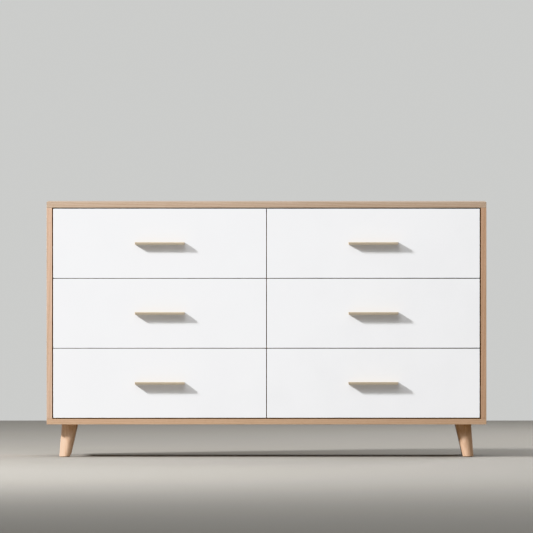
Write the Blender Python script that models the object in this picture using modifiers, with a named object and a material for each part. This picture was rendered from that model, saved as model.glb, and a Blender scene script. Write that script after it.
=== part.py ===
"""Six-drawer dresser on four splayed legs.

The dresser stands on z = 0 and faces -Y. Its origin is the bottom centre of its overall box, handles
included. A case of wood panels holds six inset drawers in two columns and three rows. The sides of each
drawer box are grooved and run on steel channel rails, which are fixed to the case. A closed drawer front
rests on the front ends of its rails. A tab on each rail runs in a shorter groove above the rail's own, and
the rear end of that groove stops the open drawer.
"""

import math

import bpy
from mathutils import Vector

# Every size is in metres.
JOINT_GAP = 0.0003  # between pieces that touch
EDGE_EASE = 0.0006  # small chamfer on the edges of every board
OVERCUT = 0.010  # how far a cutter runs past an open side

# The case
CASE_WIDTH = 1.400
CASE_DEPTH = 0.450
CASE_HEIGHT = 0.708
PANEL = 0.018  # thickness of the top, the bottom and the sides
PARTITION = 0.018
PARTITION_SETBACK = 0.002  # from the back of the drawer fronts to the partition's front edge
BACK_THICKNESS = 0.004
BACK_LAP = 0.009  # how far a back panel reaches into the rebate around it
BACK_SPLIT = 0.001  # slit between the two back panels, behind the partition

# The legs
LEG_HEIGHT = 0.104
LEG_TOP_DIAMETER = 0.050
LEG_FOOT_DIAMETER = 0.0335
LEG_INSET_X = 0.073  # from the side of the case to the leg's axis, at the underside of the case
LEG_INSET_Y = 0.060  # the same, from the front or the rear of the case
LEG_SPLAY = math.radians(8.75)  # outwards along X, and as much along Y
LEG_ROUNDING = 0.0015
LEG_SEGMENTS = 32

# The drawer fronts
ROWS = ("bottom", "middle", "top")
COLUMNS = {"left": -1, "right": 1}  # name, and side of the partition
FRONT_THICKNESS = 0.018
FRONT_RECESS = 0.001  # behind the front edges of the case
FRONT_REVEAL = 0.0035  # gap between a front and the case
FRONT_GAP = 0.003  # gap between neighbouring fronts

# The drawer boxes
HANDS = {"left": -1, "right": 1}
BOX_SIDE = 0.015
BOX_BACK = 0.012
BOX_HEIGHT = 0.150
BOX_LIFT = 0.020  # from the bottom edge of the front to the bottom edge of the box
BOX_REAR_CLEARANCE = 0.0267  # from a closed drawer box to the back panel
BOX_RETAINED = 0.100  # length of the box that stays in the case when the drawer is fully open
BOTTOM_THICKNESS = 0.004
BOTTOM_RISE = 0.010  # from the bottom edge of the box to the underside of its bottom
BOTTOM_GROOVE = 0.005  # depth of the groove that holds the drawer bottom

# The rails
SIDE_CLEARANCE = 0.006  # between a drawer box and the case panel beside it
RAIL_HEIGHT = 0.012
RAIL_WALL = 0.0012
RAIL_ENGAGEMENT = 0.006  # how far the rail reaches into the groove of a drawer side
RAIL_CLEARANCE = 0.0008  # all round the rail, in the groove
RAIL_RISE = 0.066  # from the bottom edge of the box to the underside of the rail
RAIL_SHORTFALL = 0.020  # from the rear end of a rail to the rear end of the closed box
TAB_THICKNESS = 0.003
TAB_HEIGHT = 0.005

# The handles
HANDLE_LENGTH = 0.159
HANDLE_PROJECTION = 0.024
HANDLE_HEIGHT = 0.008
HANDLE_PLATE = 0.0025  # thickness of the top
HANDLE_LIP = 0.003  # thickness of the front
HANDLE_WEB = 0.007  # thickness of the part that is screwed to the drawer front
HANDLE_END = 0.003  # thickness of the two ends

# Places that follow from the sizes
FACE_Y = (HANDLE_PROJECTION + JOINT_GAP - FRONT_RECESS - CASE_DEPTH) / 2  # front edges of the case
REAR_Y = FACE_Y + CASE_DEPTH
FRONT_BACK_Y = FACE_Y + FRONT_RECESS + FRONT_THICKNESS  # back of the drawer fronts
REBATE_Y = REAR_Y - BACK_THICKNESS - JOINT_GAP  # seat of the back panels
FLOOR_Z = LEG_HEIGHT + PANEL  # inside of the case
CEILING_Z = LEG_HEIGHT + CASE_HEIGHT - PANEL
INNER_X = CASE_WIDTH / 2 - PANEL

FRONT_WIDTH = INNER_X - FRONT_REVEAL - FRONT_GAP / 2
FRONT_HEIGHT = (CEILING_Z - FLOOR_Z - 2 * FRONT_REVEAL - (len(ROWS) - 1) * FRONT_GAP) / len(ROWS)
BAY_WIDTH = INNER_X - PARTITION / 2
BOX_WIDTH = BAY_WIDTH - 2 * SIDE_CLEARANCE
BOX_LENGTH = REBATE_Y - FRONT_BACK_Y - BOX_REAR_CLEARANCE
DRAWER_TRAVEL = BOX_LENGTH - BOX_RETAINED
RAIL_LENGTH = BOX_LENGTH - RAIL_SHORTFALL
BOX_TOP = BOX_LIFT + BOX_HEIGHT
BOTTOM_LOW = BOX_LIFT + BOTTOM_RISE
BOTTOM_HIGH = BOTTOM_LOW + BOTTOM_THICKNESS
RAIL_LOW = BOX_LIFT + RAIL_RISE
RAIL_HIGH = RAIL_LOW + RAIL_HEIGHT

# Colour, roughness and metallic value of each material
MATERIALS = {
    "case_wood": ((0.62, 0.43, 0.28), 0.5, 0.0),
    "leg_wood": ((0.66, 0.46, 0.31), 0.45, 0.0),
    "white_lacquer": ((0.88, 0.88, 0.87), 0.35, 0.0),
    "box_wood": ((0.72, 0.58, 0.42), 0.6, 0.0),
    "hardboard": ((0.74, 0.72, 0.68), 0.6, 0.0),
    "rail_steel": ((0.60, 0.61, 0.62), 0.35, 1.0),
    "brass": ((0.72, 0.57, 0.34), 0.3, 1.0),
}


def clear_scene():
    for obj in list(bpy.data.objects):
        bpy.data.objects.remove(obj)


def new_collection(name):
    collection = bpy.data.collections.new(name)
    bpy.context.scene.collection.children.link(collection)
    return collection


def make_materials():
    for name, (colour, roughness, metallic) in MATERIALS.items():
        material = bpy.data.materials.new(name)
        material.use_nodes = True
        shader = material.node_tree.nodes["Principled BSDF"]
        shader.inputs["Base Color"].default_value = (*colour, 1.0)
        shader.inputs["Roughness"].default_value = roughness
        shader.inputs["Metallic"].default_value = metallic


def adopt(obj, name, collection, parent=None):
    """Name a new object, and move it to its collection and its parent."""
    obj.name = name
    for other in list(obj.users_collection):
        other.objects.unlink(obj)
    collection.objects.link(obj)
    obj.parent = parent
    return obj


def box(name, corner, opposite, collection, parent=None):
    """A box between two opposite corners, in its parent's space."""
    low = Vector(map(min, corner, opposite))
    high = Vector(map(max, corner, opposite))
    bpy.ops.mesh.primitive_cube_add(size=1.0, location=(low + high) / 2)
    obj = bpy.context.active_object
    obj.scale = high - low
    bpy.ops.object.transform_apply(location=False, rotation=False, scale=True)
    return adopt(obj, name, collection, parent)


def cutter_box(name, corner, opposite, cutters, parent=None):
    """A box that only shapes other pieces."""
    obj = box(name, corner, opposite, cutters, parent)
    obj.hide_render = True
    obj.display_type = "WIRE"
    return obj


def empty(name, location, collection):
    obj = bpy.data.objects.new(name, None)
    obj.location = location
    collection.objects.link(obj)
    return obj


def paint(obj, material):
    obj.data.materials.clear()
    obj.data.materials.append(bpy.data.materials[material])


def ease(obj, width=EDGE_EASE):
    bevel = obj.modifiers.new("eased_edges", "BEVEL")
    bevel.width = width
    bevel.segments = 1
    bevel.limit_method = "ANGLE"
    bevel.angle_limit = math.radians(30)


def combine(obj, other, operation):
    boolean = obj.modifiers.new(other.name, "BOOLEAN")
    boolean.operation = operation
    boolean.solver = "EXACT"
    boolean.object = other


def add_case(dresser, cutters):
    """The panels of the case, and the two back panels in their rebate."""
    half = CASE_WIDTH / 2
    case_top = LEG_HEIGHT + CASE_HEIGHT
    rebate = cutter_box(
        "back_rebate",
        (-INNER_X - BACK_LAP, REBATE_Y, FLOOR_Z - BACK_LAP),
        (INNER_X + BACK_LAP, REAR_Y + OVERCUT, CEILING_Z + BACK_LAP),
        cutters,
    )
    side_low = FLOOR_Z + JOINT_GAP
    side_high = CEILING_Z - JOINT_GAP
    panels = {
        "top_panel": ((-half, FACE_Y, CEILING_Z), (half, REAR_Y, case_top)),
        "bottom_panel": ((-half, FACE_Y, LEG_HEIGHT), (half, REAR_Y, FLOOR_Z)),
        "left_side_panel": ((-half, FACE_Y, side_low), (-INNER_X, REAR_Y, side_high)),
        "right_side_panel": ((INNER_X, FACE_Y, side_low), (half, REAR_Y, side_high)),
    }
    for name, (corner, opposite) in panels.items():
        panel = box(name, corner, opposite, dresser)
        ease(panel)
        combine(panel, rebate, "DIFFERENCE")
        paint(panel, "case_wood")

    partition = box(
        "centre_partition",
        (-PARTITION / 2, FRONT_BACK_Y + PARTITION_SETBACK, side_low),
        (PARTITION / 2, REBATE_Y, side_high),
        dresser,
    )
    ease(partition)
    paint(partition, "case_wood")

    for column, side in COLUMNS.items():
        back = box(
            f"{column}_back_panel",
            (side * BACK_SPLIT / 2, REBATE_Y + JOINT_GAP, FLOOR_Z - BACK_LAP + JOINT_GAP),
            (side * (INNER_X + BACK_LAP - JOINT_GAP), REAR_Y, CEILING_Z + BACK_LAP - JOINT_GAP),
            dresser,
        )
        paint(back, "hardboard")


def add_legs(dresser, cutters):
    """Four turned legs, cut level at the case and at the floor."""
    reach = max(CASE_WIDTH, CASE_DEPTH)
    slab = cutter_box("leg_trim", (-reach, -reach, 0.0), (reach, reach, LEG_HEIGHT - JOINT_GAP), cutters)
    lean = math.tan(LEG_SPLAY)
    for column, side in COLUMNS.items():
        for end, facing, edge in (("front", -1, FACE_Y), ("rear", 1, REAR_Y)):
            top = Vector((side * (CASE_WIDTH / 2 - LEG_INSET_X), edge - facing * LEG_INSET_Y, LEG_HEIGHT))
            run = Vector((side * lean, facing * lean, -1.0)) * LEG_HEIGHT
            taper = (LEG_TOP_DIAMETER - LEG_FOOT_DIAMETER) / 2 / run.length
            spare = LEG_TOP_DIAMETER / 2
            bpy.ops.mesh.primitive_cone_add(
                vertices=LEG_SEGMENTS,
                radius1=LEG_FOOT_DIAMETER / 2 - taper * spare,
                radius2=LEG_TOP_DIAMETER / 2 + taper * spare,
                depth=run.length + 2 * spare,
                location=top + run / 2,
            )
            leg = adopt(bpy.context.active_object, f"{end}_{column}_leg", dresser)
            leg.rotation_euler = Vector((0, 0, 1)).rotation_difference(-run).to_euler()
            combine(leg, slab, "INTERSECT")
            ease(leg, LEG_ROUNDING)
            leg.data.shade_smooth()
            leg.data.set_sharp_from_angle(angle=math.radians(30))
            paint(leg, "leg_wood")


def add_front(name, shift, place, dresser):
    """The lacquered front, whose middle is off the bay's because it laps over the partition."""
    front = box(
        f"{name}_front",
        (shift - FRONT_WIDTH / 2, -FRONT_THICKNESS, 0.0),
        (shift + FRONT_WIDTH / 2, 0.0, FRONT_HEIGHT),
        dresser,
        place,
    )
    ease(front)
    paint(front, "white_lacquer")
    return front


def add_box(name, front, place, dresser, cutters):
    """The sides, back and bottom of a drawer box, with the grooves that hold and carry them."""
    half = BOX_WIDTH / 2
    inner = half - BOX_SIDE
    reach = inner + BOTTOM_GROOVE
    bottom_groove = cutter_box(
        f"{name}_bottom_groove",
        (-reach, -BOTTOM_GROOVE, BOTTOM_LOW - JOINT_GAP),
        (reach, BOX_LENGTH + OVERCUT, BOTTOM_HIGH + JOINT_GAP),
        cutters,
        place,
    )
    combine(front, bottom_groove, "DIFFERENCE")

    bottom = box(
        f"{name}_bottom",
        (-reach + JOINT_GAP, -BOTTOM_GROOVE + JOINT_GAP, BOTTOM_LOW),
        (reach - JOINT_GAP, BOX_LENGTH, BOTTOM_HIGH),
        dresser,
        place,
    )
    paint(bottom, "hardboard")

    back = box(
        f"{name}_back",
        (-inner + JOINT_GAP, BOX_LENGTH - BOX_BACK, BOTTOM_HIGH + JOINT_GAP),
        (inner - JOINT_GAP, BOX_LENGTH, BOX_TOP),
        dresser,
        place,
    )
    ease(back)
    paint(back, "box_wood")

    for hand, sign in HANDS.items():
        side = box(
            f"{name}_{hand}_side",
            (sign * inner, JOINT_GAP, BOX_LIFT),
            (sign * half, BOX_LENGTH, BOX_TOP),
            dresser,
            place,
        )
        ease(side)
        combine(side, bottom_groove, "DIFFERENCE")
        for groove in rail_grooves(f"{name}_{hand}", sign, place, cutters):
            combine(side, groove, "DIFFERENCE")
        paint(side, "box_wood")


def rail_grooves(name, sign, place, cutters):
    """The rail's groove, and the tab's groove above it, which ends at the stop."""
    deep = sign * (BOX_WIDTH / 2 - RAIL_ENGAGEMENT - RAIL_CLEARANCE)
    outside = sign * (BOX_WIDTH / 2 + OVERCUT)
    rail_groove = cutter_box(
        f"{name}_rail_groove",
        (deep, -OVERCUT, RAIL_LOW - RAIL_CLEARANCE),
        (outside, BOX_LENGTH + OVERCUT, RAIL_HIGH + RAIL_CLEARANCE),
        cutters,
        place,
    )
    tab_groove = cutter_box(
        f"{name}_tab_groove",
        (deep, -OVERCUT, RAIL_LOW + RAIL_HEIGHT / 2),
        (outside, TAB_THICKNESS + DRAWER_TRAVEL + 2 * JOINT_GAP, RAIL_HIGH + TAB_HEIGHT + RAIL_CLEARANCE),
        cutters,
        place,
    )
    return rail_groove, tab_groove


def add_rail(name, sign, bay, dresser, cutters):
    """A steel channel on the case panel beside a drawer, open towards the drawer, with its stop tab."""
    root = sign * (BAY_WIDTH / 2 - JOINT_GAP)
    tip = sign * (BOX_WIDTH / 2 - RAIL_ENGAGEMENT)
    rail = box(name, (root, JOINT_GAP, RAIL_LOW), (tip, RAIL_LENGTH, RAIL_HIGH), dresser, bay)
    hollow = cutter_box(
        f"{name}_hollow",
        (root - sign * RAIL_WALL, -OVERCUT, RAIL_LOW + RAIL_WALL),
        (tip - sign * OVERCUT, RAIL_LENGTH + OVERCUT, RAIL_HIGH - RAIL_WALL),
        cutters,
        bay,
    )
    tab = cutter_box(
        f"{name}_tab",
        (sign * (BOX_WIDTH / 2 - RAIL_CLEARANCE), JOINT_GAP, RAIL_HIGH - RAIL_WALL / 2),
        (tip, JOINT_GAP + TAB_THICKNESS, RAIL_HIGH + TAB_HEIGHT),
        cutters,
        bay,
    )
    combine(rail, hollow, "DIFFERENCE")
    combine(rail, tab, "UNION")
    paint(rail, "rail_steel")


def add_handle(name, shift, place, dresser, cutters):
    """A pull hollowed from below: a web on the drawer front, a top plate, a front lip and two closed ends."""
    seat = -FRONT_THICKNESS - JOINT_GAP
    lip_y = seat - HANDLE_PROJECTION
    low = (FRONT_HEIGHT - HANDLE_HEIGHT) / 2
    high = low + HANDLE_HEIGHT
    left = shift - HANDLE_LENGTH / 2
    right = shift + HANDLE_LENGTH / 2
    handle = box(f"{name}_handle", (left, seat, low), (right, lip_y, high), dresser, place)
    finger_groove = cutter_box(
        f"{name}_finger_groove",
        (left + HANDLE_END, seat - HANDLE_WEB, low - OVERCUT),
        (right - HANDLE_END, lip_y + HANDLE_LIP, high - HANDLE_PLATE),
        cutters,
        place,
    )
    ease(handle)
    combine(handle, finger_groove, "DIFFERENCE")
    paint(handle, "brass")


def add_drawers(dresser, cutters):
    """Six drawers. Each one slides with its empty, and its rails stay with the bay's."""
    for row, row_name in enumerate(ROWS):
        front_low = FLOOR_Z + FRONT_REVEAL + row * (FRONT_HEIGHT + FRONT_GAP)
        for column, side in COLUMNS.items():
            bay_middle = side * (PARTITION + BAY_WIDTH) / 2
            shift = side * (FRONT_GAP + FRONT_WIDTH) / 2 - bay_middle
            corner = (bay_middle, FRONT_BACK_Y, front_low)
            name = f"{row_name}_{column}_drawer"
            place = empty(name, corner, dresser)
            bay = empty(f"{row_name}_{column}_bay", corner, dresser)
            front = add_front(name, shift, place, dresser)
            add_box(name, front, place, dresser, cutters)
            add_handle(name, shift, place, dresser, cutters)
            for hand, sign in HANDS.items():
                add_rail(f"{name}_{hand}_rail", sign, bay, dresser, cutters)


def main():
    clear_scene()
    make_materials()
    dresser = new_collection("dresser")
    cutters = new_collection("cutters")
    add_case(dresser, cutters)
    add_legs(dresser, cutters)
    add_drawers(dresser, cutters)


main()
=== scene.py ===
"""Looks of the six-drawer dresser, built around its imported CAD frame.

Each sub-assembly is a class that holds its own sizes, builds its pieces and dresses its CAD nodes. Every
length is in metres. The dresser faces -Y and stands on z = 0.
"""

import logging
import math
from collections.abc import Iterable
from dataclasses import dataclass
from enum import Enum
from typing import ClassVar

import bmesh
import bpy
from mathutils import Matrix, Vector


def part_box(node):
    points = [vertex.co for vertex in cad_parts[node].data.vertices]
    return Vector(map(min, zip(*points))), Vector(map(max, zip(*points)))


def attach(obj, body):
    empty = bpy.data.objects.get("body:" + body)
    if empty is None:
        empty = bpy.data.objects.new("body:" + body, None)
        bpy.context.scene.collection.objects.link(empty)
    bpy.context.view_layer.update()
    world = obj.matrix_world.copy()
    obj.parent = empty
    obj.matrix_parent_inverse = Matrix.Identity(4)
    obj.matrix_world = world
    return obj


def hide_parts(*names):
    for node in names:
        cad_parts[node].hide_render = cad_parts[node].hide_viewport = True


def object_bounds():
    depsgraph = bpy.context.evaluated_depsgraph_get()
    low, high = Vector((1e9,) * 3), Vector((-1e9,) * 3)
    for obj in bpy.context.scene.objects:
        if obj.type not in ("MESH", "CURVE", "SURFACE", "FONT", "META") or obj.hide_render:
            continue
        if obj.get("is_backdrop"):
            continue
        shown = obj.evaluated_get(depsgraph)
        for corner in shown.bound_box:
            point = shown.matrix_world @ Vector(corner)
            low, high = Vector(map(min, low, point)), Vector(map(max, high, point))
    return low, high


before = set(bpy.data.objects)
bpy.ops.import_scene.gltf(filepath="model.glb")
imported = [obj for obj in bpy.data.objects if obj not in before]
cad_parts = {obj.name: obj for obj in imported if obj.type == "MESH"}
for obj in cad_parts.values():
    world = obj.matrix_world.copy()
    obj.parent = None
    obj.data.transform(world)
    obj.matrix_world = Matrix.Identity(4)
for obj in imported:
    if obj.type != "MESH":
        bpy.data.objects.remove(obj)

log = logging.getLogger("dresser")

MERGE = 1e-6  # points closer than this are one point
SMOOTH_BELOW = math.radians(40)  # edges flatter than this are shaded smooth

Box = tuple[Vector, Vector]  # lowest and highest corner
Colour = tuple[float, float, float, float]


# ------------------------------------------------------------------------------------------------ finishes


class Grain(Enum):
    """The way the grain of a board runs, as the turn that takes a log's own Z axis there."""

    WIDTH = (0.0, math.pi / 2, 0.0)
    DEPTH = (math.pi / 2, 0.0, 0.0)
    HEIGHT = (0.0, 0.0, 0.0)


def linear(hex_colour: str) -> Colour:
    """Turn an sRGB hex colour into the linear colour that a shader takes.

    Args:
        hex_colour: Six hex digits after a hash sign.

    Returns:
        Red, green, blue and an alpha of 1.
    """
    channels = (int(hex_colour[i : i + 2], 16) / 255 for i in (1, 3, 5))
    red, green, blue = (c / 12.92 if c <= 0.04045 else ((c + 0.055) / 1.055) ** 2.4 for c in channels)
    return red, green, blue, 1.0


def add_node(
    tree: bpy.types.NodeTree, kind: str, inputs: dict | None = None, **settings: str
) -> bpy.types.Node:
    """Add a node with its settings and links.

    Args:
        tree: The tree that takes the node.
        kind: Blender's name for the node's type.
        inputs: Each input's name or number, with its value or the output that feeds it.
        **settings: The node's own properties.

    Returns:
        The new node.
    """
    node = tree.nodes.new(kind)
    for name, value in settings.items():
        setattr(node, name, value)
    for key, value in (inputs or {}).items():
        if isinstance(value, bpy.types.NodeSocket):
            tree.links.new(value, node.inputs[key])
        else:
            node.inputs[key].default_value = value
    return node


@dataclass
class Coat:
    """A material while it is being made: a Principled shader, and the layers of colour that lead to it."""

    name: str
    base: str
    fixed: dict[str, float]  # shader inputs that are the same all over

    def __post_init__(self) -> None:
        """Make the material, with the point on the object that its patterns read."""
        self.material = bpy.data.materials.new(self.name)
        self.material.use_nodes = True
        self.tree = self.material.node_tree
        self.shader = self.tree.nodes["Principled BSDF"]
        for key, value in self.fixed.items():
            self.shader.inputs[key].default_value = value
        self.colour = linear(self.base)
        self.place = self.add("ShaderNodeTexCoord").outputs["Object"]

    def add(self, kind: str, inputs: dict | None = None, **settings: str) -> bpy.types.Node:
        """Add a node to this material."""
        return add_node(self.tree, kind, inputs, **settings)

    def lay(
        self, over: str, where: bpy.types.NodeSocket, none: float, full: float, most: float = 1.0
    ) -> None:
        """Lay a colour over the ones before it, where a pattern is strong.

        Args:
            over: The colour.
            where: The pattern.
            none: Value of the pattern where the colour starts to show.
            full: Value of the pattern where the colour shows most.
            most: How much it covers there.
        """
        share = self.add("ShaderNodeMapRange", {0: where, 1: none, 2: full, 3: 0.0, 4: most}).outputs[0]
        layers = {0: share, 6: self.colour, 7: linear(over)}
        self.colour = self.add("ShaderNodeMix", layers, data_type="RGBA").outputs[2]

    def finish(
        self, relief: bpy.types.NodeSocket, smooth: float, rough: float, depth: float, strength: float
    ) -> bpy.types.Material:
        """Let one pattern drive roughness and relief, and close the material.

        Args:
            relief: The pattern, from 0.3 in its hollows to 0.7 on its crests.
            smooth: Roughness in the hollows.
            rough: Roughness on the crests.
            depth: Height of the relief in metres.
            strength: How much of the relief shows.

        Returns:
            The finished material.
        """
        gloss = self.add("ShaderNodeMapRange", {0: relief, 1: 0.3, 2: 0.7, 3: smooth, 4: rough}).outputs[0]
        raised = {"Strength": strength, "Distance": depth, "Height": relief}
        bump = self.add("ShaderNodeBump", raised).outputs[0]
        closing = {"Base Color": self.colour, "Roughness": gloss, "Normal": bump}
        for key, value in closing.items():
            if isinstance(value, bpy.types.NodeSocket):
                self.tree.links.new(value, self.shader.inputs[key])
            else:
                self.shader.inputs[key].default_value = value
        return self.material


@dataclass(frozen=True)
class OiledBeech:
    """Beech under a satin oil: pinkish tan, soft rings, fine fibres and short dark ray flecks."""

    name: str
    grain: Grain | tuple[float, float, float]
    pith: tuple[float, float, float]  # a point on the axis of the log that the board was cut from
    lean: float = 0.03  # slope of the board against the log, which draws the rings out into arches
    leaf: float = 0.0  # width of a leaf of veneer along Y, or 0 for solid wood
    ring: float = 0.005  # growth of one year
    pale: str = "#C8AE97"
    dark: str = "#A58468"
    fleck: str = "#8A6750"

    def make(self) -> bpy.types.Material:
        """Build the material.

        Returns:
            The finished material.
        """
        coat = Coat(self.name, self.pale, {"Specular IOR Level": 0.45})
        place = self._in_leaf(coat) if self.leaf else coat.place
        length = self._in_log(coat, place, 12.0)
        rings = coat.add(
            "ShaderNodeTexWave",
            {
                "Vector": length,
                "Scale": 2 * math.pi / (20 * self.ring),  # Blender's rings repeat every 2 pi / 20
                "Distortion": 5.0,
                "Detail": 2.0,
                "Detail Scale": 0.35,
                "Detail Roughness": 0.55,
            },
            wave_type="RINGS",
            rings_direction="Z",
        ).outputs["Fac"]
        # Late wood closes each ring: a slow rise and a quick end.
        late = coat.add("ShaderNodeMath", {0: rings, 1: 2.2}, operation="POWER").outputs[0]
        coat.lay(self.dark, late, 0.0, 1.0, 0.42)
        # Single fibres are 0.02 mm wide, too fine to see, so they are drawn as bundles 1.2 mm wide.
        fibre_inputs = {"Scale": 1 / 0.0012, "Detail": 4.0, "Roughness": 0.65}
        fibre_inputs["Vector"] = self._in_log(coat, place, 45.0)
        fibres = coat.add("ShaderNodeTexNoise", fibre_inputs).outputs["Fac"]
        coat.lay(self.dark, fibres, 0.35, 0.75, 0.45)
        # Clouds 35 mm across: paler wood, as a board is never one colour.
        clouds = {"Vector": length, "Scale": 1 / 0.035, "Detail": 2.0}
        coat.lay(self.pale, coat.add("ShaderNodeTexNoise", clouds).outputs["Fac"], 0.35, 0.7, 0.35)
        # Ray flecks: about 0.8 mm wide and 4 mm long on the flat face of beech.
        fleck_inputs = {"Vector": self._in_log(coat, place, 5.0), "Scale": 1 / 0.0032}
        flecks = coat.add("ShaderNodeTexVoronoi", fleck_inputs).outputs["Distance"]
        coat.lay(self.fleck, flecks, 0.26, 0.10, 0.34)
        return coat.finish(fibres, 0.42, 0.54, 0.0004, 0.16)

    def _in_leaf(self, coat: Coat) -> bpy.types.NodeSocket:
        """Shift the pattern and its tone from one leaf of veneer to the next.

        Args:
            coat: The material. It gets the tone of each leaf.

        Returns:
            The shifted point.
        """
        depth = coat.add("ShaderNodeSeparateXYZ", {0: coat.place}).outputs["Y"]
        count = {0: depth, 1: 1 / self.leaf, 2: 0.5}
        count = coat.add("ShaderNodeMath", count, operation="MULTIPLY_ADD").outputs[0]
        leaf = coat.add("ShaderNodeMath", {0: count}, operation="FLOOR").outputs[0]
        chance = coat.add("ShaderNodeTexWhiteNoise", {"W": leaf}, noise_dimensions="1D").outputs
        coat.lay(self.dark, chance["Value"], 0.0, 1.0, 0.2)
        shift = {0: chance["Color"], 1: (0.09, 0.09, 0.09), 2: coat.place}
        return coat.add("ShaderNodeVectorMath", shift, operation="MULTIPLY_ADD").outputs[0]

    def _in_log(self, coat: Coat, place: bpy.types.NodeSocket, stretch: float) -> bpy.types.NodeSocket:
        """Bring a point into the log's own space, with Z along the grain.

        Args:
            coat: The material.
            place: The point.
            stretch: How much longer than wide the pattern is to be.

        Returns:
            The point in the log.
        """
        turn = self.grain.value if isinstance(self.grain, Grain) else self.grain
        inputs = {
            "Vector": place,
            "Location": self.pith,
            "Rotation": (turn[0], turn[1] + self.lean, turn[2]),
            "Scale": (1.0, 1.0, stretch),
        }
        return coat.add("ShaderNodeMapping", inputs, vector_type="TEXTURE").outputs[0]


@dataclass(frozen=True)
class SatinLacquer:
    """White satin lacquer sprayed on fibreboard: even colour, soft gloss and a faint orange peel."""

    name: str = "satin_white_lacquer_on_mdf"
    colour: str = "#EEEFF2"
    cloud: str = "#E9EAED"
    peel: float = 0.0035  # from one crest of the orange peel to the next

    def make(self) -> bpy.types.Material:
        """Build the material.

        Returns:
            The finished material.
        """
        coat = Coat(self.name, self.colour, {"IOR": 1.48})
        haze = {"Vector": coat.place, "Scale": 1 / 0.12, "Detail": 3.0}
        coat.lay(self.cloud, coat.add("ShaderNodeTexNoise", haze).outputs["Fac"], 0.4, 0.7)
        peel = {"Vector": coat.place, "Scale": 1 / self.peel, "Detail": 1.0}
        return coat.finish(coat.add("ShaderNodeTexNoise", peel).outputs["Fac"], 0.34, 0.40, 0.0002, 0.05)


@dataclass(frozen=True)
class BrushedMetal:
    """Metal brushed along X, or tumbled where a stroke is as long as it is wide."""

    name: str
    colour: str
    shade: str  # colour between the strokes
    roughness: float
    stroke: float = 0.0005  # width of a stroke: a real one is 0.05 mm, too fine to show
    draw: float = 60.0  # length of a stroke, in widths
    anisotropic: float = 0.4

    def make(self) -> bpy.types.Material:
        """Build the material.

        Returns:
            The finished material.
        """
        coat = Coat(self.name, self.colour, {"Metallic": 1.0, "Anisotropic": self.anisotropic})
        drawn = coat.add("ShaderNodeMapping", {"Vector": coat.place, "Scale": (1 / self.draw, 1.0, 1.0)})
        strokes = {"Vector": drawn.outputs[0], "Scale": 1 / self.stroke, "Detail": 3.0, "Roughness": 0.6}
        strokes = coat.add("ShaderNodeTexNoise", strokes).outputs["Fac"]
        coat.lay(self.shade, strokes, 0.3, 0.7)
        return coat.finish(strokes, self.roughness - 0.05, self.roughness + 0.07, 0.0001, 0.12)


@dataclass(frozen=True)
class BirchPly:
    """Birch plywood: pale silky faces, and edges that show the plies as alternate stripes."""

    name: str
    grain: Grain
    through: tuple[float, float, float]  # across the sheet's thickness
    ply: float = 0.0014
    pale: str = "#DCC6A2"
    dark: str = "#C3A477"
    edge: str = "#A98256"

    def make(self) -> bpy.types.Material:
        """Build the material.

        Returns:
            The finished material.
        """
        coat = Coat(self.name, self.pale, {"Specular IOR Level": 0.35})
        inputs = {"Vector": coat.place, "Rotation": self.grain.value, "Scale": (1.0, 1.0, 25.0)}
        turned = coat.add("ShaderNodeMapping", inputs, vector_type="TEXTURE").outputs[0]
        fibres = {"Vector": turned, "Scale": 1 / 0.0016, "Detail": 4.0, "Roughness": 0.6, "Distortion": 0.2}
        fibres = coat.add("ShaderNodeTexNoise", fibres).outputs["Fac"]
        coat.lay(self.dark, fibres, 0.3, 0.75, 0.6)
        figure = {"Vector": turned, "Scale": 1 / 0.02, "Detail": 2.0, "Distortion": 1.2}
        coat.lay(self.dark, coat.add("ShaderNodeTexNoise", figure).outputs["Fac"], 0.45, 0.6, 0.35)
        # On an edge, every second ply is end grain and looks darker.
        depth = coat.add("ShaderNodeVectorMath", {0: coat.place, 1: self.through}, operation="DOT_PRODUCT")
        count = {0: depth.outputs["Value"], 1: 2 * self.ply}
        wave = coat.add("ShaderNodeMath", count, operation="PINGPONG").outputs[0]
        normal = coat.add("ShaderNodeNewGeometry").outputs["Normal"]
        facing = coat.add("ShaderNodeVectorMath", {0: normal, 1: self.through}, operation="DOT_PRODUCT")
        facing = coat.add("ShaderNodeMath", {0: facing.outputs["Value"]}, operation="ABSOLUTE").outputs[0]
        on_edge = coat.add("ShaderNodeMath", {0: facing, 1: 0.6}, operation="LESS_THAN").outputs[0]
        ends = coat.add("ShaderNodeMath", {0: wave, 1: on_edge}, operation="MULTIPLY").outputs[0]
        coat.lay(self.edge, ends, 0.9 * self.ply, 1.1 * self.ply)
        return coat.finish(fibres, 0.5, 0.62, 0.0003, 0.12)


@dataclass(frozen=True)
class Hardboard:
    """Pressed fibre sheet with a painted face: short crossing fibres break up its colour."""

    name: str
    colour: str
    fibre: str
    bundle: float = 0.0014  # width of a bundle of fibres

    def make(self) -> bpy.types.Material:
        """Build the material.

        Returns:
            The finished material.
        """
        coat = Coat(self.name, self.colour, {"Specular IOR Level": 0.3})
        fibres = {"Vector": coat.place, "Scale": 1 / self.bundle, "Detail": 4.0, "Roughness": 0.7}
        fibres = coat.add("ShaderNodeTexNoise", {**fibres, "Distortion": 2.0}).outputs["Fac"]
        coat.lay(self.fibre, fibres, 0.45, 0.75, 0.8)
        # The pulp settles unevenly: faint clouds 15 mm across.
        clouds = {"Vector": coat.place, "Scale": 1 / 0.015, "Detail": 3.0}
        coat.lay(self.fibre, coat.add("ShaderNodeTexNoise", clouds).outputs["Fac"], 0.4, 0.7, 0.12)
        return coat.finish(fibres, 0.55, 0.7, 0.0002, 0.15)


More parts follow.
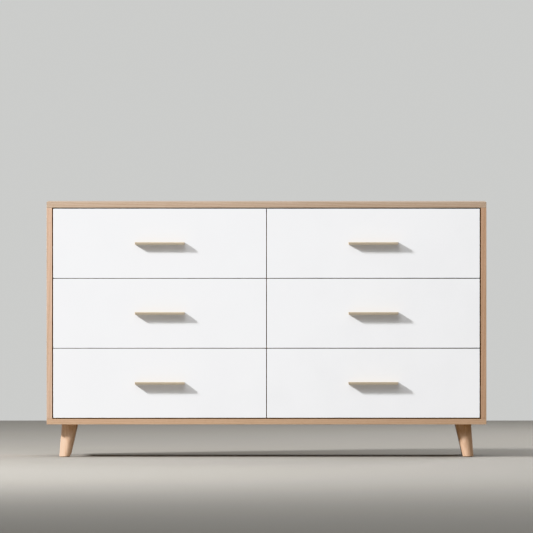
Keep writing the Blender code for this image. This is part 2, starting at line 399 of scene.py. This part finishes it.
@dataclass(frozen=True)
class WoolFelt:
    """Pressed wool felt: matt, with a matted nap."""

    name: str = "grey_brown_wool_felt"
    colour: str = "#5B5149"
    nap: str = "#7C7167"

    def make(self) -> bpy.types.Material:
        """Build the material.

        Returns:
            The finished material.
        """
        coat = Coat(self.name, self.colour, {"Sheen Weight": 0.3})
        nap = {"Vector": coat.place, "Scale": 1 / 0.0006, "Detail": 4.0}
        nap = coat.add("ShaderNodeTexNoise", nap).outputs["Fac"]
        coat.lay(self.nap, nap, 0.3, 0.7)
        return coat.finish(nap, 0.9, 1.0, 0.0004, 0.5)


# ------------------------------------------------------------------------------------------- making pieces


def board(low: Vector, high: Vector) -> bmesh.types.BMesh:
    """A square-edged board between two corners.

    Args:
        low: The lowest corner.
        high: The highest corner.

    Returns:
        The board's mesh.
    """
    work = bmesh.new()
    size = Matrix.Diagonal((*(high - low), 1.0))
    bmesh.ops.create_cube(work, size=1.0, matrix=Matrix.Translation((low + high) / 2) @ size)
    return work


def inside(point: Vector, box: Box) -> bool:
    """Whether a point is in a box or on its surface."""
    return all(box[0][axis] - MERGE < point[axis] < box[1][axis] + MERGE for axis in range(3))


def cut_pocket(work: bmesh.types.BMesh, body: Box, cut: Box, mouth: Vector) -> None:
    """Cut a box-shaped pocket, groove or rebate into a board.

    Args:
        work: The board.
        body: The board's corners.
        cut: The corners of the pocket, which run past the board where the cut is open.
        mouth: The outward direction of the face that the pocket is sunk into.
    """
    open_sides = []
    for axis in range(3):
        along = Vector(float(a == axis) for a in range(3))
        for end in (0, 1):
            if body[0][axis] + MERGE < cut[end][axis] < body[1][axis] - MERGE:
                everything = work.verts[:] + work.edges[:] + work.faces[:]
                bmesh.ops.bisect_plane(work, geom=everything, plane_co=along * cut[end][axis], plane_no=along)
            else:
                open_sides.append((axis, body[end][axis]))
    work.normal_update()
    patch = [f for f in work.faces if f.normal.dot(mouth) > 0.99 and inside(f.calc_center_median(), cut)]
    sunk = max(range(3), key=lambda axis: abs(mouth[axis]))
    floor = cut[0 if mouth[sunk] > 0 else 1][sunk]
    grown = bmesh.ops.extrude_face_region(work, geom=patch)["geom"]
    for vert in grown:
        if isinstance(vert, bmesh.types.BMVert):
            vert.co[sunk] = floor
    waste = set(patch)
    for face in work.faces:
        middle = face.calc_center_median()
        at_side = any(axis != sunk and abs(middle[axis] - side) < MERGE for axis, side in open_sides)
        if at_side and inside(middle, cut):
            waste.add(face)
    bmesh.ops.delete(work, geom=list(waste), context="FACES")
    bmesh.ops.remove_doubles(work, verts=work.verts, dist=MERGE)
    bmesh.ops.recalc_face_normals(work, faces=work.faces)


def round_arrises(
    work: bmesh.types.BMesh, radius: float, segments: int = 3, leave: Iterable[Box] = ()
) -> None:
    """Round the outer edges of a board.

    Args:
        work: The board.
        radius: How far the rounding reaches from the edge.
        segments: Facets across the rounding.
        leave: Boxes whose edges stay sharp.
    """
    bmesh.ops.dissolve_limit(work, angle_limit=0.001, verts=work.verts, edges=work.edges)
    work.normal_update()
    arrises = []
    for edge in work.edges:
        middle = (edge.verts[0].co + edge.verts[1].co) / 2
        if edge.calc_face_angle_signed(0.0) > 1.0 and not any(inside(middle, box) for box in leave):
            arrises.append(edge)
    bmesh.ops.bevel(
        work, geom=arrises, offset=radius, segments=segments, profile=0.5, affect="EDGES", material=-1
    )


def turned(profile: list[tuple[float, float]], facets: int) -> bmesh.types.BMesh:
    """Turn a profile round the Z axis.

    Args:
        profile: Radius and height of each point, from the axis back to the axis.
        facets: Facets round the axis.

    Returns:
        The closed mesh.
    """
    work = bmesh.new()
    verts = [work.verts.new((radius, 0.0, height)) for radius, height in profile]
    edges = [work.edges.new(pair) for pair in zip(verts, verts[1:])]
    full = {"cent": (0, 0, 0), "axis": (0, 0, 1), "angle": 2 * math.pi}
    bmesh.ops.spin(work, geom=verts + edges, steps=facets, use_merge=True, **full)
    bmesh.ops.remove_doubles(work, verts=work.verts, dist=MERGE)
    bmesh.ops.recalc_face_normals(work, faces=work.faces)
    return work


def saw_level(work: bmesh.types.BMesh, height: float, keep_below: bool) -> list[bmesh.types.BMEdge]:
    """Saw a mesh level and close the cut.

    Args:
        work: The mesh.
        height: Where to saw.
        keep_below: Whether the lower part is kept.

    Returns:
        The edges round the cut.
    """
    everything = work.verts[:] + work.edges[:] + work.faces[:]
    plane = {"plane_co": (0, 0, height), "plane_no": (0, 0, 1)}
    clear = {"clear_outer": keep_below, "clear_inner": not keep_below}
    cut = bmesh.ops.bisect_plane(work, geom=everything, **plane, **clear)["geom_cut"]
    rim = [edge for edge in cut if isinstance(edge, bmesh.types.BMEdge)]
    bmesh.ops.edgeloop_fill(work, edges=rim)
    return rim


@dataclass(frozen=True)
class Head:
    """What shows of a screw, nail or cam lock."""

    diameter: float
    height: float
    crown: float = 0.8  # share of the diameter that is left at the top


def screw_head(head: Head) -> bpy.types.Mesh:
    """A low round head with a six-point recess, standing on z = 0 and facing +Z.

    Args:
        head: The head's sizes.

    Returns:
        The head's mesh.
    """
    work = bmesh.new()
    cone = {
        "radius1": head.diameter / 2,
        "radius2": head.diameter / 2 * head.crown,
        "depth": head.height,
    }
    middle = Matrix.Translation((0, 0, head.height / 2))
    bmesh.ops.create_cone(work, cap_ends=True, segments=12, matrix=middle, **cone)
    work.normal_update()
    top = max(work.faces, key=lambda face: face.calc_center_median().z)
    bmesh.ops.inset_region(work, faces=[top], thickness=head.diameter * 0.2, use_even_offset=True)
    for vert in list(top.verts)[::2]:
        vert.co.xy *= 0.7
    grown = bmesh.ops.extrude_face_region(work, geom=[top])["geom"]
    bmesh.ops.delete(work, geom=[top], context="FACES_ONLY")
    for vert in grown:
        if isinstance(vert, bmesh.types.BMVert):
            vert.co.z = head.height * 0.35
    bmesh.ops.recalc_face_normals(work, faces=work.faces)
    mesh = bpy.data.meshes.new("screw_head")
    work.to_mesh(mesh)
    work.free()
    return mesh


def repeated(template: bpy.types.Mesh, places: list[Vector], towards: list[Vector]) -> bmesh.types.BMesh:
    """One mesh that holds a copy of a template at each place.

    Args:
        template: The mesh to copy, which faces +Z.
        places: Where each copy goes.
        towards: What each copy faces.

    Returns:
        All the copies together.
    """
    work = bmesh.new()
    for place, direction in zip(places, towards):
        copy = template.copy()
        turn = direction.to_track_quat("Z", "Y").to_matrix().to_4x4()
        copy.transform(Matrix.Translation(place) @ turn)
        work.from_mesh(copy)
        bpy.data.meshes.remove(copy)
    return work


def publish(
    work: bmesh.types.BMesh,
    material: bpy.types.Material,
    name: str,
    body: str,
    stands_for: str | None = None,
) -> None:
    """Make a finished piece's object and enter it in the frame.

    Args:
        work: The finished mesh, in place. It is used up.
        material: The piece's finish.
        name: The piece's name.
        body: The body that it moves with.
        stands_for: The CAD node that it replaces.
    """
    mesh = bpy.data.meshes.new(name)
    work.to_mesh(mesh)
    work.free()
    mesh.shade_smooth()
    mesh.set_sharp_from_angle(angle=SMOOTH_BELOW)
    mesh.materials.append(material)
    piece = bpy.data.objects.new(name, mesh)
    bpy.context.scene.collection.objects.link(piece)
    piece.modifiers.new("even_shading", "WEIGHTED_NORMAL").keep_sharp = True
    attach(piece, body)
    if stands_for:
        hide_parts(stands_for)
    log.info("%s on %s: %d faces, %s", name, body, len(mesh.polygons), material.name)


def dress(node: str, material: bpy.types.Material) -> None:
    """Give a CAD node its finish.

    Args:
        node: The node's name.
        material: The finish.
    """
    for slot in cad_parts[node].material_slots:
        slot.material = material
    log.info("%s: %s", node, material.name)


# ------------------------------------------------------------------------------------------ sub-assemblies


@dataclass
class Case:
    """The panels of the case, its back panels, and the fittings that hold them."""

    arris: float = 0.0004
    back_arris: float = 0.0003
    back_sunk: float = 0.0008  # from the rear edges of the case to the back panels
    joint_gap: float = 0.0003
    nail: Head = Head(0.0042, 0.0006, 0.7)
    nail_pitch: float = 0.11
    nail_edge: float = 0.0045  # from the edge of a back panel to its nails
    cam: Head = Head(0.015, 0.0007, 0.94)
    cam_drop: float = 0.034  # from the ceiling of a bay to its cam locks
    bolt: Head = Head(0.0095, 0.0009)
    fitting_front: float = 0.075  # from the front of the case to the first fittings
    fitting_rear: float = 0.06  # from the last fittings to the back panels

    def __post_init__(self) -> None:
        """Read the places of the panels."""
        self.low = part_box("bottom_panel")[0]
        self.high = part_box("top_panel")[1]
        self.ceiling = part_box("top_panel")[0].z
        self.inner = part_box("right_side_panel")[0].x
        play = Vector((self.joint_gap,) * 3)
        self.rebate = (
            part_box("left_back_panel")[0] - play,
            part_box("right_back_panel")[1] + play + Vector((0.0, 0.01, 0.0)),
        )

    def build(self) -> None:
        """Build every piece of the case."""
        self._panels()
        self._backs()
        self._fittings()

    def _panels(self) -> None:
        """The partition, and the four outer panels with their shares of the rebate for the back."""
        panels = {
            "top": (Grain.WIDTH, (0.0, 0.03, 0.70), Vector((0, 0, -1)), "#AF9B89", "#8E7660"),
            "bottom": (Grain.WIDTH, (0.3, -0.05, 0.02), Vector((0, 0, 1)), "#B89C83", "#9E7D62"),
            "left_side": (Grain.HEIGHT, (-0.60, 0.02, 0.0), Vector((1, 0, 0)), "#BDA38F", "#A08068"),
            "right_side": (Grain.HEIGHT, (0.61, -0.03, 0.0), Vector((-1, 0, 0)), "#B4947C", "#997A5F"),
        }
        for name, (grain, pith, mouth, pale, dark) in panels.items():
            tones = {"pale": pale, "dark": dark}
            wood = OiledBeech(f"oiled_beech_veneer_{name}", grain, pith, leaf=0.152, **tones).make()
            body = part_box(f"{name}_panel")
            work = board(*body)
            cut_pocket(work, body, self.rebate, mouth)
            round_arrises(work, self.arris, leave=[self.rebate])
            publish(work, wood, f"{name}_panel_veneered", "case", f"{name}_panel")
        wood = OiledBeech("oiled_beech_veneer_partition", Grain.HEIGHT, (0.08, 0.0, 0.0), leaf=0.152).make()
        work = board(*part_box("centre_partition"))
        round_arrises(work, self.arris)
        publish(work, wood, "centre_partition_veneered", "case", "centre_partition")

    def _backs(self) -> None:
        """The two thin back panels, and the nails along their edges."""
        sheet = Hardboard("brown_hardboard", "#B79B7C", "#9A7D5F").make()
        nails = []
        for name in ("left_back_panel", "right_back_panel"):
            low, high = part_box(name)
            high.y -= self.back_sunk
            work = board(low, high)
            round_arrises(work, self.back_arris, segments=2)
            publish(work, sheet, f"{name}_sheet", "case", name)
            nails += self._nail_places(low, high)
        tumbled = {"draw": 1.0, "anisotropic": 0.0}
        steel = BrushedMetal("bright_nail_steel", "#B9B9B4", "#94948F", 0.38, **tumbled).make()
        work = repeated(screw_head(self.nail), nails, [Vector((0, 1, 0))] * len(nails))
        publish(work, steel, "back_panel_nails", "case")

    def _nail_places(self, low: Vector, high: Vector) -> list[Vector]:
        """Evenly pitched nails along the four edges of a back panel.

        Args:
            low: The panel's lowest corner.
            high: The panel's highest corner.

        Returns:
            The place of each nail.
        """
        left, right = low.x + self.nail_edge, high.x - self.nail_edge
        bottom, top = low.z + self.nail_edge, high.z - self.nail_edge
        across = round((right - left) / self.nail_pitch)
        up = round((top - bottom) / self.nail_pitch)
        columns = [left + (right - left) * i / across for i in range(across + 1)]
        rows = [bottom + (top - bottom) * i / up for i in range(1, up)]
        level = [(x, z) for x in columns for z in (bottom, top)]
        upright = [(x, z) for z in rows for x in (left, right)]
        return [Vector((x, high.y, z)) for x, z in level + upright]

    def _fittings(self) -> None:
        """Cam locks under the ceiling of each bay, and bolts up through the bottom panel."""
        zinc = BrushedMetal("die_cast_zinc", "#A9A9A6", "#8B8B88", 0.42, draw=1.0, anisotropic=0.0).make()
        first, last = self.low.y + self.fitting_front, self.rebate[0].y - self.fitting_rear
        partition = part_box("centre_partition")
        walls = {self.inner: -1, -self.inner: 1, partition[1].x: 1, partition[0].x: -1}
        height = self.ceiling - self.cam_drop
        places = [Vector((x, y, height)) for x in walls for y in (first, last)]
        towards = [Vector((side, 0, 0)) for side in walls.values() for _ in (first, last)]
        work = repeated(screw_head(self.cam), places, towards)
        publish(work, zinc, "case_cam_locks", "case")

        side = (self.inner + self.high.x) / 2
        places = [
            Vector((x, y, self.low.z)) for x in (-side, 0.0, side) for y in (first, (first + last) / 2, last)
        ]
        work = repeated(screw_head(self.bolt), places, [Vector((0, 0, -1))] * len(places))
        publish(work, zinc, "bottom_panel_bolts", "case")


@dataclass
class Leg:
    """One turned leg that splays towards its corner of the case, with a felt glide under its foot."""

    end: str
    column: str
    tones: ClassVar = {"left": ("#D7B9A0", "#B79173"), "right": ("#C9A98F", "#AA8467")}  # grain tones per column; the right pair is darker, as painted shade
    top: float = 0.050  # diameter at the case
    foot: float = 0.0335  # diameter at the floor
    splay: float = math.radians(8.75)
    inset_x: float = 0.073  # from the side of the case to the axis, at the underside of the case
    inset_y: float = 0.060  # the same, from the front or the rear of the case
    joint_gap: float = 0.0003
    rounding: float = 0.0016
    glide: float = 0.0012
    facets: int = 96

    def build(self, felt: bpy.types.Material) -> None:
        """Build the leg and its glide.

        Args:
            felt: The glide's finish.
        """
        name = f"{self.end}_{self.column}_leg"
        low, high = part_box("bottom_panel")
        side = -1 if self.column == "left" else 1
        ahead = -1 if self.end == "front" else 1
        seat = Vector((
            (high.x if side > 0 else low.x) - side * self.inset_x,
            (high.y if ahead > 0 else low.y) - ahead * self.inset_y,
            low.z,
        ))
        lean = math.tan(self.splay)
        run = Vector((side * lean, ahead * lean, -1.0)) * seat.z
        turn = (-run).to_track_quat("Z", "Y")
        spare = self.top / 2
        flare = (self.top - self.foot) / 2 / run.length * spare
        profile = [(self.top / 2 + flare, spare), (self.foot / 2 - flare, -run.length - spare)]
        work = turned([(0.0, spare), *profile, (0.0, -run.length - spare)], self.facets)
        work.transform(Matrix.Translation(seat) @ turn.to_matrix().to_4x4())
        saw_level(work, seat.z - self.joint_gap, keep_below=True)
        rim = saw_level(work, self.glide, keep_below=False)
        bmesh.ops.recalc_face_normals(work, faces=work.faces)
        foot = {"offset": self.rounding, "segments": 4, "profile": 0.5, "affect": "EDGES", "material": -1}
        bmesh.ops.bevel(work, geom=rim, **foot)
        pith = (seat.x + 0.021 * side, seat.y + 0.055, seat.z)
        # The right legs take the darker pair of tones: painted shade, not a different blank of wood.
        pale, dark = self.tones[self.column]
        wood = {"lean": 0.0, "ring": 0.0032, "pale": pale, "dark": dark}
        solid = OiledBeech(f"oiled_solid_beech_{name}", tuple(turn.to_euler()), pith, **wood)
        publish(work, solid.make(), f"{name}_turned", "case", name)

        radius = self.foot / 2 - 0.003
        pad = turned([(0.0, self.glide), (radius, self.glide), (radius, 0.0), (0.0, 0.0)], 48)
        bmesh.ops.translate(pad, verts=pad.verts, vec=(seat.x + run.x, seat.y + run.y, 0.0))
        publish(pad, felt, f"{self.end}_{self.column}_glide", "case")


@dataclass
class Drawer:
    """One drawer: lacquered front, handle, plywood box and its fittings, and the rails that carry it."""

    row: str
    column: str
    front_arris: float = 0.00025
    groove_play: float = 0.0003  # round the drawer bottom
    handle_arris: float = 0.0007
    lip: float = 0.003
    web: float = 0.007
    plate: float = 0.0025
    ends: float = 0.003
    handle_screw: Head = Head(0.0075, 0.0024, 0.72)
    screw_spacing: float = 0.128  # between the two screws of a handle
    cam: Head = Head(0.0125, 0.0006, 0.94)
    cam_behind: float = 0.024  # from the front end of a side to its cam locks
    cam_ends: tuple[float, float] = (0.030, 0.025)  # from the lower and upper edge of a side
    corner_screw: Head = Head(0.007, 0.0006)
    corner_ends: tuple[float, float] = (0.032, 0.030)  # from the lower and upper edge of a side
    rail_wall: float = 0.0012
    rail_screw: Head = Head(0.0066, 0.0012, 0.6)
    rail_screw_rise: float = 0.006  # from the lower edge of a rail
    rail_screw_shares: tuple[float, float, float] = (0.1, 0.5, 0.9)  # along the rail

    def __post_init__(self) -> None:
        """Work out the drawer's name and read the places of its boards."""
        self.name = f"{self.row}_{self.column}_drawer"
        self.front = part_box(f"{self.name}_front")
        self.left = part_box(f"{self.name}_left_side")
        self.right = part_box(f"{self.name}_right_side")

    def build(self, finishes: dict[str, bpy.types.Material]) -> None:
        """Build the drawer's own pieces, and dress the nodes that stay.

        Args:
            finishes: Each finish by its plain name.
        """
        self._front(finishes["lacquer"])
        self._handle(finishes["brass"], finishes["zinc"])
        for board_name, finish in (("left_side", "side"), ("right_side", "side"), ("back", "back")):
            dress(f"{self.name}_{board_name}", finishes[finish])
        dress(f"{self.name}_bottom", finishes["bottom"])
        self._corners(finishes["zinc"])
        self._rails(finishes["steel"], finishes["zinc"])

    def _front(self, lacquer: bpy.types.Material) -> None:
        """The front, with the groove in its back that holds the drawer bottom.

        Args:
            lacquer: The front's finish.
        """
        low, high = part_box(f"{self.name}_bottom")
        play = Vector((self.groove_play,) * 3)
        groove = (low - play, high + play)
        work = board(*self.front)
        cut_pocket(work, self.front, groove, Vector((0, 1, 0)))
        round_arrises(work, self.front_arris, leave=[groove])
        name = f"{self.name}_lacquered_front"
        publish(work, lacquer, name, self.name, f"{self.name}_front")

    def _handle(self, brass: bpy.types.Material, zinc: bpy.types.Material) -> None:
        """The handle, hollowed from below for the fingertips, and its two screws behind the front.

        Args:
            brass: The handle's finish.
            zinc: The screws' finish.
        """
        node = f"{self.name}_handle"
        low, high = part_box(node)
        hollow = (
            Vector((low.x + self.ends, low.y + self.lip, low.z - 0.01)),
            Vector((high.x - self.ends, high.y - self.web, high.z - self.plate)),
        )
        work = board(low, high)
        cut_pocket(work, (low, high), hollow, Vector((0, 0, -1)))
        round_arrises(work, self.handle_arris)
        publish(work, brass, f"{node}_brushed", self.name, node)

        middle = (low + high) / 2
        offsets = (-self.screw_spacing / 2, self.screw_spacing / 2)
        places = [Vector((middle.x + offset, self.front[1].y, middle.z)) for offset in offsets]
        work = repeated(screw_head(self.handle_screw), places, [Vector((0, 1, 0))] * 2)
        publish(work, zinc, f"{self.name}_handle_screws", self.name)

    def _corners(self, zinc: bpy.types.Material) -> None:
        """Cam locks that hold the front, and screws through the rear corners of the box.

        Args:
            zinc: The finish of both.
        """
        low, high = self.left[0], self.right[1]
        inner = {self.left[1].x: 1, self.right[0].x: -1}
        heights = (low.z + self.cam_ends[0], high.z - self.cam_ends[1])
        places = [Vector((x, low.y + self.cam_behind, z)) for x in inner for z in heights]
        towards = [Vector((side, 0, 0)) for side in inner.values() for _ in range(2)]
        work = repeated(screw_head(self.cam), places, towards)
        publish(work, zinc, f"{self.name}_cam_locks", self.name)

        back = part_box(f"{self.name}_back")
        depth = (back[0].y + back[1].y) / 2
        outer = {low.x: -1, high.x: 1}
        heights = (low.z + self.corner_ends[0], high.z - self.corner_ends[1])
        places = [Vector((x, depth, z)) for x in outer for z in heights]
        towards = [Vector((side, 0, 0)) for side in outer.values() for _ in range(2)]
        work = repeated(screw_head(self.corner_screw), places, towards)
        publish(work, zinc, f"{self.name}_corner_screws", self.name)

    def _rails(self, steel: bpy.types.Material, zinc: bpy.types.Material) -> None:
        """Dress the two rails, and add the screws that hold them to the case.

        Args:
            steel: The rails' finish.
            zinc: The screws' finish.
        """
        places, towards = [], []
        for hand, side in (("left", 1), ("right", -1)):
            node = f"{self.name}_{hand}_rail"
            dress(node, steel)
            low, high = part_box(node)
            wall = (low.x if side > 0 else high.x) + side * self.rail_wall
            for share in self.rail_screw_shares:
                along = low.y + share * (high.y - low.y)
                places.append(Vector((wall, along, low.z + self.rail_screw_rise)))
                towards.append(Vector((side, 0, 0)))
        work = repeated(screw_head(self.rail_screw), places, towards)
        publish(work, zinc, f"{self.name}_rail_screws", "case")


@dataclass
class Studio:
    """Plain floor, soft light and the camera."""

    distance: float = 60.0  # from the camera to the front of the case
    view_width: float = 1.6966  # what the camera takes in at the front of the case
    aim: float = 0.6068  # height of the middle of the view
    rise: float = 0.0078  # slope at which the camera looks down on the top
    floor_ahead: float = 14.0
    floor_behind: float = 6.0
    floor_side: float = 14.0
    floor_colour: str = "#8F8B85"
    floor_mottle: str = "#928E88"
    key_place: tuple[float, float, float] = (-5.07, -2.89, 3.77)
    key_size: float = 0.95
    key_power: float = 780.0
    overhead_place: tuple[float, float, float] = (-0.6, -3.0, 3.6)
    overhead_size: float = 3.0
    overhead_power: float = 60.0
    fill_place: tuple[float, float, float] = (2.6, 4.0, 2.8)
    fill_size: float = 2.5
    fill_power: float = 110.0
    room: str = "#FBFCFA"
    room_ahead: float = 0.28  # strength of the room's light where the camera stands
    room_behind: float = 0.66  # the same behind the dresser

    def build(self) -> None:
        """Set up the studio."""
        low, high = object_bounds()
        self.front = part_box("top_panel")[0].y
        self.centre = (low + high) / 2
        self._floor()
        self._room()
        self._lamp("key_light", self.key_place, self.key_size, self.key_power)
        self._lamp("overhead_fill", self.overhead_place, self.overhead_size, self.overhead_power)
        self._lamp("rear_fill", self.fill_place, self.fill_size, self.fill_power)
        self._camera(high.z)
        bpy.context.scene.view_settings.view_transform = "Khronos PBR Neutral"

    def _floor(self) -> None:
        """A plain pale floor, painted, with a slight mottle."""
        low = Vector((-self.floor_side, self.front - self.floor_ahead, -0.02))
        work = board(low, Vector((self.floor_side, self.front + self.floor_behind, 0.0)))
        mesh = bpy.data.meshes.new("studio_floor")
        work.to_mesh(mesh)
        work.free()
        coat = Coat("studio_floor_paint", self.floor_colour, {})
        mottle = coat.add("ShaderNodeTexNoise", {"Vector": coat.place, "Scale": 3.0, "Detail": 3.0})
        coat.lay(self.floor_mottle, mottle.outputs["Fac"], 0.3, 0.7)
        mesh.materials.append(coat.finish(mottle.outputs["Fac"], 0.72, 0.8, 0.001, 0.02))
        floor = bpy.data.objects.new("studio_floor", mesh)
        bpy.context.scene.collection.objects.link(floor)
        floor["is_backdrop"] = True

    def _room(self) -> None:
        """An even pale room, lighter behind the dresser than ahead of it."""
        world = bpy.data.worlds.new("pale_room")
        world.use_nodes = True
        tree = world.node_tree
        towards = add_node(tree, "ShaderNodeTexCoord").outputs["Generated"]
        depth = add_node(tree, "ShaderNodeSeparateXYZ", {0: towards}).outputs["Y"]
        inputs = {0: depth, 1: -1.0, 2: 1.0, 3: self.room_ahead, 4: self.room_behind}
        strength = add_node(tree, "ShaderNodeMapRange", inputs).outputs[0]
        background = tree.nodes["Background"]
        background.inputs["Color"].default_value = linear(self.room)
        tree.links.new(strength, background.inputs["Strength"])
        bpy.context.scene.world = world

    def _lamp(self, name: str, place: tuple[float, float, float], size: float, power: float) -> None:
        """A round soft lamp aimed at the dresser.

        Args:
            name: The lamp's name.
            place: Where it stands.
            size: Its diameter.
            power: Its power in watts.
        """
        light = bpy.data.lights.new(name, "AREA")
        light.shape = "DISK"
        light.size = size
        light.energy = power
        lamp = bpy.data.objects.new(name, light)
        lamp.location = place
        lamp.rotation_euler = (Vector(place) - self.centre).to_track_quat("Z", "Y").to_euler()
        lamp.visible_camera = False
        bpy.context.scene.collection.objects.link(lamp)

    def _camera(self, top: float) -> None:
        """A long lens square to the front, just high enough to see a sliver of the top.

        Args:
            top: Height of the top of the dresser.
        """
        camera = bpy.data.cameras.new("camera")
        camera.sensor_width = 36.0
        camera.lens = camera.sensor_width * self.distance / self.view_width
        camera.clip_end = 3 * self.distance
        eye = bpy.data.objects.new("camera", camera)
        eye.location = (0.0, self.front - self.distance, top + self.rise * self.distance)
        sight = Vector((0.0, self.front, self.aim)) - eye.location
        eye.rotation_euler = sight.to_track_quat("-Z", "Y").to_euler()
        bpy.context.scene.collection.objects.link(eye)
        bpy.context.scene.camera = eye


def main() -> None:
    """Build and dress every sub-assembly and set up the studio."""
    logging.basicConfig(level=logging.INFO, format="%(name)s: %(message)s")
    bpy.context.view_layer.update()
    rolled = {"stroke": 0.004, "draw": 2.0, "anisotropic": 0.0}
    tumbled = {"draw": 1.0, "anisotropic": 0.0}
    finishes = {
        "lacquer": SatinLacquer().make(),
        "brass": BrushedMetal("brushed_satin_brass", "#D9CCB9", "#D3C5B0", 0.5).make(),
        "zinc": BrushedMetal("zinc_plated_screw", "#B4B5B4", "#8F908F", 0.36, **tumbled).make(),
        "steel": BrushedMetal("zinc_plated_rail", "#B9BCBE", "#9C9FA2", 0.34, **rolled).make(),
        "side": BirchPly("birch_ply_side", Grain.DEPTH, (1.0, 0.0, 0.0)).make(),
        "back": BirchPly("birch_ply_back", Grain.WIDTH, (0.0, 1.0, 0.0)).make(),
        "bottom": Hardboard("white_faced_hardboard", "#DEDBD3", "#C9C4B8").make(),
    }
    Case().build()
    felt = WoolFelt().make()
    for end in ("front", "rear"):
        for column in ("left", "right"):
            Leg(end, column).build(felt)
    for row in ("bottom", "middle", "top"):
        for column in ("left", "right"):
            Drawer(row, column).build(finishes)
    Studio().build()


if __name__ == "__main__":
    main()
